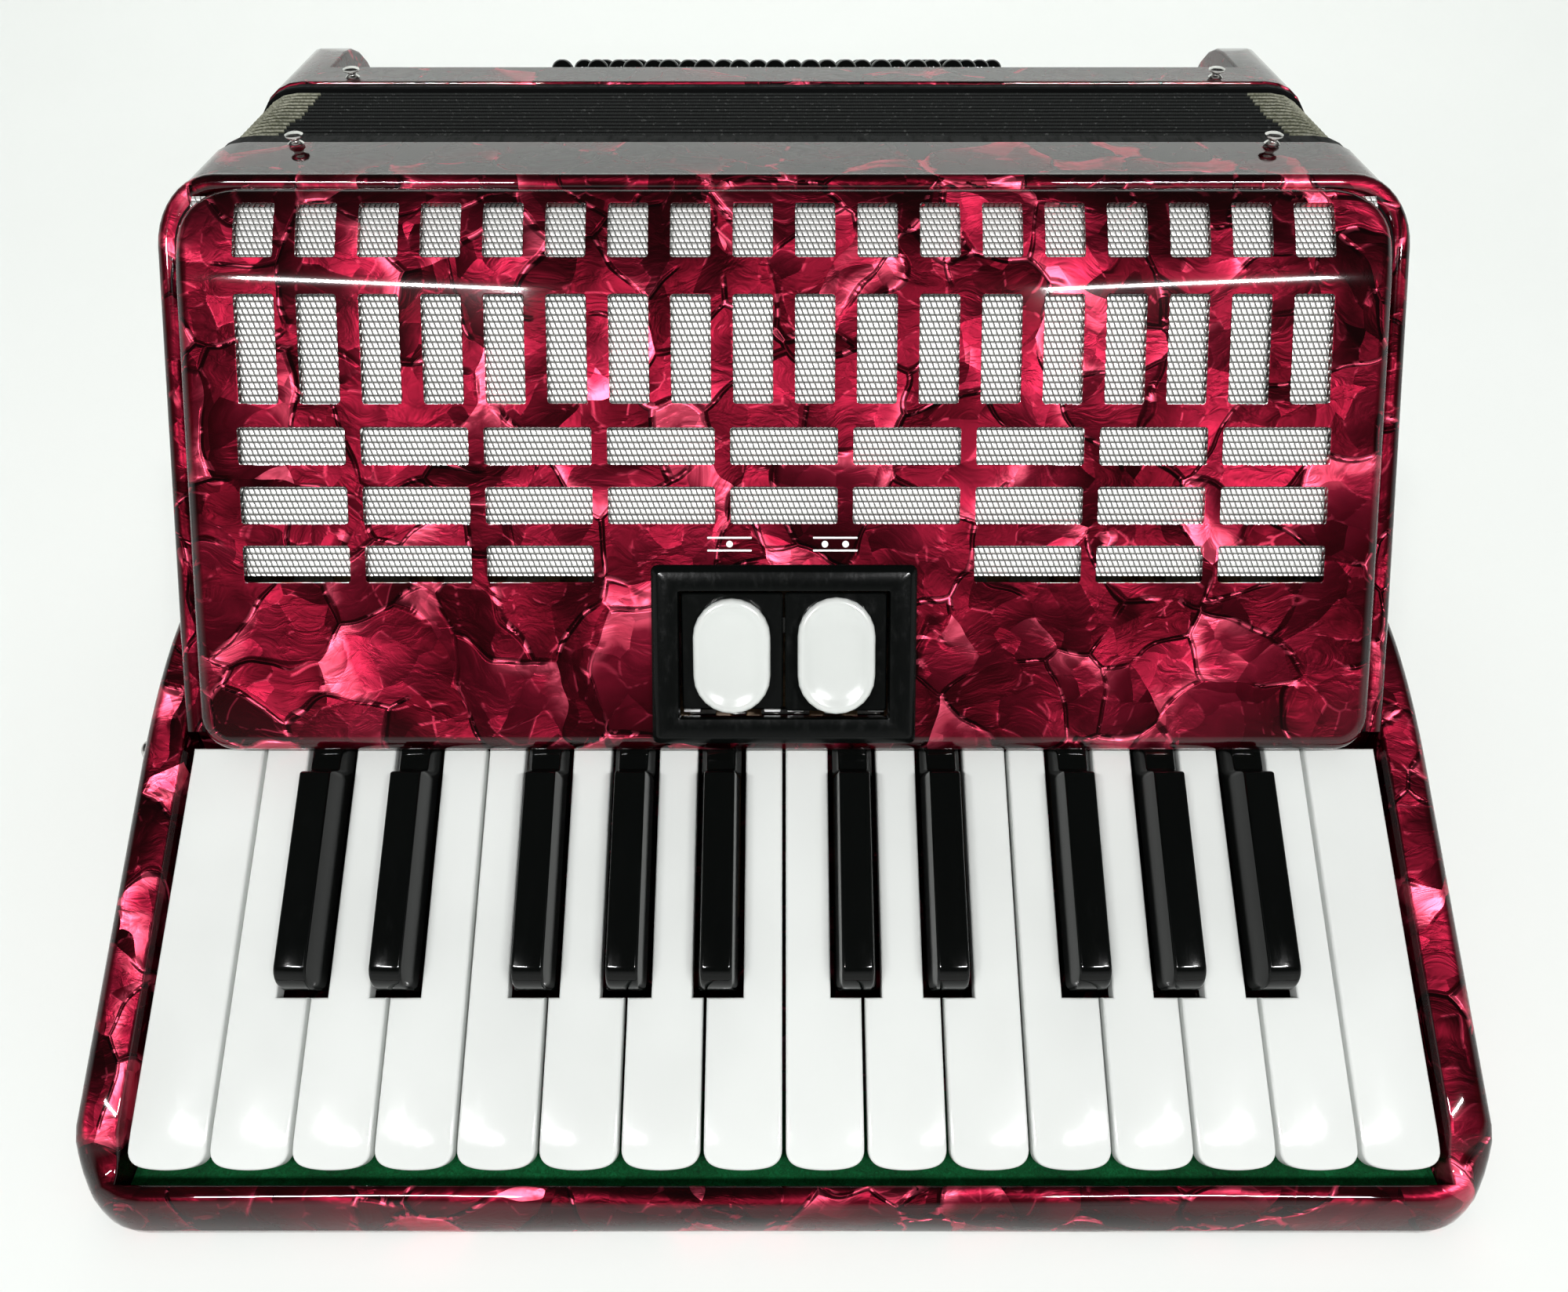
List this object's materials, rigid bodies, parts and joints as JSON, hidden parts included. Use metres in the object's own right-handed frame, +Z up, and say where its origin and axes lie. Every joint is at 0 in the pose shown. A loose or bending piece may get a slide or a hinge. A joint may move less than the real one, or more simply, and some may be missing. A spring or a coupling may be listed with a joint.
{
  "type": "piano accordion",
  "caption": "Piano accordion lying on its back with its bellows closed: hinged keys, register switches, bass buttons, air button, wrist strap and a sliding bass side.",
  "frame": {"origin": "on the back of the treble casing, which lies on the table, midway along the keyboard and midway from the keyboard's front to the bass end", "axes": "+X along the keyboard from the low notes to the high notes; +Y from the keyboard to the bass end, along the bellows; +Z up, out of the instrument's front"},
  "size_m": [0.3417, 0.3463, 0.1868],
  "materials": {
    "pearl_red": "celluloid pearl, polished",
    "key_white": "polished",
    "key_black": "polished",
    "black_plastic": "satin",
    "metal_cloth": "woven cloth",
    "chrome": "polished",
    "felt_green": "felt",
    "bellows_card": "cloth-covered card with metal corners",
    "frame_wood": "black lacquer",
    "reed_wood": "bare",
    "strap_leather": "grained"
  },
  "bodies": {
    "treble_side": {"treble_casing": "pearl_red", "keyboard_frame": "pearl_red", "grille_cover": "pearl_red", "grille_mesh": "metal_cloth", "register_bezel": "black_plastic", "foundation_plate": "reed_wood", "treble_reed_block_low": "reed_wood", "treble_reed_block_high": "reed_wood", "key_axle": "chrome", "key_spring_comb": "chrome", "key_felt": "felt_green", "treble_bellows_frame": "frame_wood", "treble_pin_left": "chrome", "treble_pin_right": "chrome", "frame_stud": "chrome", "bellows": "bellows_card"},
    "bass_side": {"bass_bellows_frame": "frame_wood", "bass_casing": "pearl_red", "bass_button_plate": "black_plastic", "bass_reed_block": "reed_wood", "bass_end_plate": "black_plastic", "bass_strap": "strap_leather", "bass_pin_left": "chrome", "bass_pin_right": "chrome"},
    "black_key_01": {"black_key_01": "key_black"},
    "black_key_02": {"black_key_02": "key_black"},
    "black_key_03": {"black_key_03": "key_black"},
    "black_key_04": {"black_key_04": "key_black"},
    "black_key_05": {"black_key_05": "key_black"},
    "black_key_06": {"black_key_06": "key_black"},
    "black_key_07": {"black_key_07": "key_black"},
    "black_key_08": {"black_key_08": "key_black"},
    "black_key_09": {"black_key_09": "key_black"},
    "black_key_10": {"black_key_10": "key_black"},
    "white_key_01": {"white_key_01": "key_white"},
    "white_key_02": {"white_key_02": "key_white"},
    "white_key_03": {"white_key_03": "key_white"},
    "white_key_04": {"white_key_04": "key_white"},
    "white_key_05": {"white_key_05": "key_white"},
    "white_key_06": {"white_key_06": "key_white"},
    "white_key_07": {"white_key_07": "key_white"},
    "white_key_08": {"white_key_08": "key_white"},
    "white_key_09": {"white_key_09": "key_white"},
    "white_key_10": {"white_key_10": "key_white"},
    "white_key_11": {"white_key_11": "key_white"},
    "white_key_12": {"white_key_12": "key_white"},
    "white_key_13": {"white_key_13": "key_white"},
    "white_key_14": {"white_key_14": "key_white"},
    "white_key_15": {"white_key_15": "key_white"},
    "white_key_16": {"white_key_16": "key_white"},
    "register_left": {"register_switch_left": "black_plastic", "register_cap_left": "key_white"},
    "register_right": {"register_switch_right": "black_plastic", "register_cap_right": "key_white"},
    "bass_buttons_row_1": {"bass_buttons_row_1": "key_black"},
    "bass_buttons_row_2": {"bass_buttons_row_2": "key_black"},
    "bass_buttons_row_3": {"bass_buttons_row_3": "key_black"},
    "bass_buttons_row_4": {"bass_buttons_row_4": "key_black"},
    "air_button": {"air_button": "key_black"},
    "strap_wheel": {"strap_wheel": "black_plastic"}
  },
  "joints": [
    {"name": "bellows_slide", "type": "slide", "parent": "treble_side", "child": "bass_side", "axis": [0, 1, 0], "range_m": [0, 0.24], "deforming": ["bellows"]},
    {"name": "black_key_01_hinge", "type": "hinge", "parent": "treble_side", "child": "black_key_01", "pos_m": [0, -0.06111, 0.06531], "axis": [1, 0, 0], "range_deg": [0, 2.4], "stiffness_Nm_per_rad": 0.5, "springref_deg": -8.59},
    {"name": "black_key_02_hinge", "type": "hinge", "parent": "treble_side", "child": "black_key_02", "pos_m": [0, -0.06111, 0.06531], "axis": [1, 0, 0], "range_deg": [0, 2.4], "stiffness_Nm_per_rad": 0.5, "springref_deg": -8.59},
    {"name": "black_key_03_hinge", "type": "hinge", "parent": "treble_side", "child": "black_key_03", "pos_m": [0, -0.06111, 0.06531], "axis": [1, 0, 0], "range_deg": [0, 2.4], "stiffness_Nm_per_rad": 0.5, "springref_deg": -8.59},
    {"name": "black_key_04_hinge", "type": "hinge", "parent": "treble_side", "child": "black_key_04", "pos_m": [0, -0.06111, 0.06531], "axis": [1, 0, 0], "range_deg": [0, 2.4], "stiffness_Nm_per_rad": 0.5, "springref_deg": -8.59},
    {"name": "black_key_05_hinge", "type": "hinge", "parent": "treble_side", "child": "black_key_05", "pos_m": [0, -0.06111, 0.06531], "axis": [1, 0, 0], "range_deg": [0, 2.4], "stiffness_Nm_per_rad": 0.5, "springref_deg": -8.59},
    {"name": "black_key_06_hinge", "type": "hinge", "parent": "treble_side", "child": "black_key_06", "pos_m": [0, -0.06111, 0.06531], "axis": [1, 0, 0], "range_deg": [0, 2.4], "stiffness_Nm_per_rad": 0.5, "springref_deg": -8.59},
    {"name": "black_key_07_hinge", "type": "hinge", "parent": "treble_side", "child": "black_key_07", "pos_m": [0, -0.06111, 0.06531], "axis": [1, 0, 0], "range_deg": [0, 2.4], "stiffness_Nm_per_rad": 0.5, "springref_deg": -8.59},
    {"name": "black_key_08_hinge", "type": "hinge", "parent": "treble_side", "child": "black_key_08", "pos_m": [0, -0.06111, 0.06531], "axis": [1, 0, 0], "range_deg": [0, 2.4], "stiffness_Nm_per_rad": 0.5, "springref_deg": -8.59},
    {"name": "black_key_09_hinge", "type": "hinge", "parent": "treble_side", "child": "black_key_09", "pos_m": [0, -0.06111, 0.06531], "axis": [1, 0, 0], "range_deg": [0, 2.4], "stiffness_Nm_per_rad": 0.5, "springref_deg": -8.59},
    {"name": "black_key_10_hinge", "type": "hinge", "parent": "treble_side", "child": "black_key_10", "pos_m": [0, -0.06111, 0.06531], "axis": [1, 0, 0], "range_deg": [0, 2.4], "stiffness_Nm_per_rad": 0.5, "springref_deg": -8.59},
    {"name": "white_key_01_hinge", "type": "hinge", "parent": "treble_side", "child": "white_key_01", "pos_m": [0, -0.06111, 0.06531], "axis": [1, 0, 0], "range_deg": [0, 2.4], "stiffness_Nm_per_rad": 0.5, "springref_deg": -8.59},
    {"name": "white_key_02_hinge", "type": "hinge", "parent": "treble_side", "child": "white_key_02", "pos_m": [0, -0.06111, 0.06531], "axis": [1, 0, 0], "range_deg": [0, 2.4], "stiffness_Nm_per_rad": 0.5, "springref_deg": -8.59},
    {"name": "white_key_03_hinge", "type": "hinge", "parent": "treble_side", "child": "white_key_03", "pos_m": [0, -0.06111, 0.06531], "axis": [1, 0, 0], "range_deg": [0, 2.4], "stiffness_Nm_per_rad": 0.5, "springref_deg": -8.59},
    {"name": "white_key_04_hinge", "type": "hinge", "parent": "treble_side", "child": "white_key_04", "pos_m": [0, -0.06111, 0.06531], "axis": [1, 0, 0], "range_deg": [0, 2.4], "stiffness_Nm_per_rad": 0.5, "springref_deg": -8.59},
    {"name": "white_key_05_hinge", "type": "hinge", "parent": "treble_side", "child": "white_key_05", "pos_m": [0, -0.06111, 0.06531], "axis": [1, 0, 0], "range_deg": [0, 2.4], "stiffness_Nm_per_rad": 0.5, "springref_deg": -8.59},
    {"name": "white_key_06_hinge", "type": "hinge", "parent": "treble_side", "child": "white_key_06", "pos_m": [0, -0.06111, 0.06531], "axis": [1, 0, 0], "range_deg": [0, 2.4], "stiffness_Nm_per_rad": 0.5, "springref_deg": -8.59},
    {"name": "white_key_07_hinge", "type": "hinge", "parent": "treble_side", "child": "white_key_07", "pos_m": [0, -0.06111, 0.06531], "axis": [1, 0, 0], "range_deg": [0, 2.4], "stiffness_Nm_per_rad": 0.5, "springref_deg": -8.59},
    {"name": "white_key_08_hinge", "type": "hinge", "parent": "treble_side", "child": "white_key_08", "pos_m": [0, -0.06111, 0.06531], "axis": [1, 0, 0], "range_deg": [0, 2.4], "stiffness_Nm_per_rad": 0.5, "springref_deg": -8.59},
    {"name": "white_key_09_hinge", "type": "hinge", "parent": "treble_side", "child": "white_key_09", "pos_m": [0, -0.06111, 0.06531], "axis": [1, 0, 0], "range_deg": [0, 2.4], "stiffness_Nm_per_rad": 0.5, "springref_deg": -8.59},
    {"name": "white_key_10_hinge", "type": "hinge", "parent": "treble_side", "child": "white_key_10", "pos_m": [0, -0.06111, 0.06531], "axis": [1, 0, 0], "range_deg": [0, 2.4], "stiffness_Nm_per_rad": 0.5, "springref_deg": -8.59},
    {"name": "white_key_11_hinge", "type": "hinge", "parent": "treble_side", "child": "white_key_11", "pos_m": [0, -0.06111, 0.06531], "axis": [1, 0, 0], "range_deg": [0, 2.4], "stiffness_Nm_per_rad": 0.5, "springref_deg": -8.59},
    {"name": "white_key_12_hinge", "type": "hinge", "parent": "treble_side", "child": "white_key_12", "pos_m": [0, -0.06111, 0.06531], "axis": [1, 0, 0], "range_deg": [0, 2.4], "stiffness_Nm_per_rad": 0.5, "springref_deg": -8.59},
    {"name": "white_key_13_hinge", "type": "hinge", "parent": "treble_side", "child": "white_key_13", "pos_m": [0, -0.06111, 0.06531], "axis": [1, 0, 0], "range_deg": [0, 2.4], "stiffness_Nm_per_rad": 0.5, "springref_deg": -8.59},
    {"name": "white_key_14_hinge", "type": "hinge", "parent": "treble_side", "child": "white_key_14", "pos_m": [0, -0.06111, 0.06531], "axis": [1, 0, 0], "range_deg": [0, 2.4], "stiffness_Nm_per_rad": 0.5, "springref_deg": -8.59},
    {"name": "white_key_15_hinge", "type": "hinge", "parent": "treble_side", "child": "white_key_15", "pos_m": [0, -0.06111, 0.06531], "axis": [1, 0, 0], "range_deg": [0, 2.4], "stiffness_Nm_per_rad": 0.5, "springref_deg": -8.59},
    {"name": "white_key_16_hinge", "type": "hinge", "parent": "treble_side", "child": "white_key_16", "pos_m": [0, -0.06111, 0.06531], "axis": [1, 0, 0], "range_deg": [0, 2.4], "stiffness_Nm_per_rad": 0.5, "springref_deg": -8.59},
    {"name": "register_left_hinge", "type": "hinge", "parent": "treble_side", "child": "register_left", "pos_m": [0, -0.0577, 0.1035], "axis": [1, 0, 0], "range_deg": [-5, 0]},
    {"name": "register_right_hinge", "type": "hinge", "parent": "treble_side", "child": "register_right", "pos_m": [0, -0.0577, 0.1035], "axis": [1, 0, 0], "range_deg": [0, 5]},
    {"name": "bass_buttons_row_1_slide", "type": "slide", "parent": "bass_side", "child": "bass_buttons_row_1", "axis": [0, -0.2756, -0.9613], "range_m": [0, 0.0032], "stiffness_N_per_m": 400, "springref_m": -0.004},
    {"name": "bass_buttons_row_2_slide", "type": "slide", "parent": "bass_side", "child": "bass_buttons_row_2", "axis": [0, -0.2756, -0.9613], "range_m": [0, 0.0032], "stiffness_N_per_m": 400, "springref_m": -0.004},
    {"name": "bass_buttons_row_3_slide", "type": "slide", "parent": "bass_side", "child": "bass_buttons_row_3", "axis": [0, -0.2756, -0.9613], "range_m": [0, 0.0032], "stiffness_N_per_m": 400, "springref_m": -0.004},
    {"name": "bass_buttons_row_4_slide", "type": "slide", "parent": "bass_side", "child": "bass_buttons_row_4", "axis": [0, -0.2756, -0.9613], "range_m": [0, 0.0032], "stiffness_N_per_m": 400, "springref_m": -0.004},
    {"name": "air_button_slide", "type": "slide", "parent": "bass_side", "child": "air_button", "axis": [0, -1, 0], "range_m": [0, 0.004], "stiffness_N_per_m": 300, "springref_m": -0.004},
    {"name": "strap_wheel_spin", "type": "hinge", "parent": "bass_side", "child": "strap_wheel", "pos_m": [-0.1578, 0.1234, 0.063], "axis": [-1, 0, 0], "continuous": true}
  ],
  "couplings": [
    {"joint": "register_right_hinge", "follows": "register_left_hinge", "ratio": -1}
  ]
}
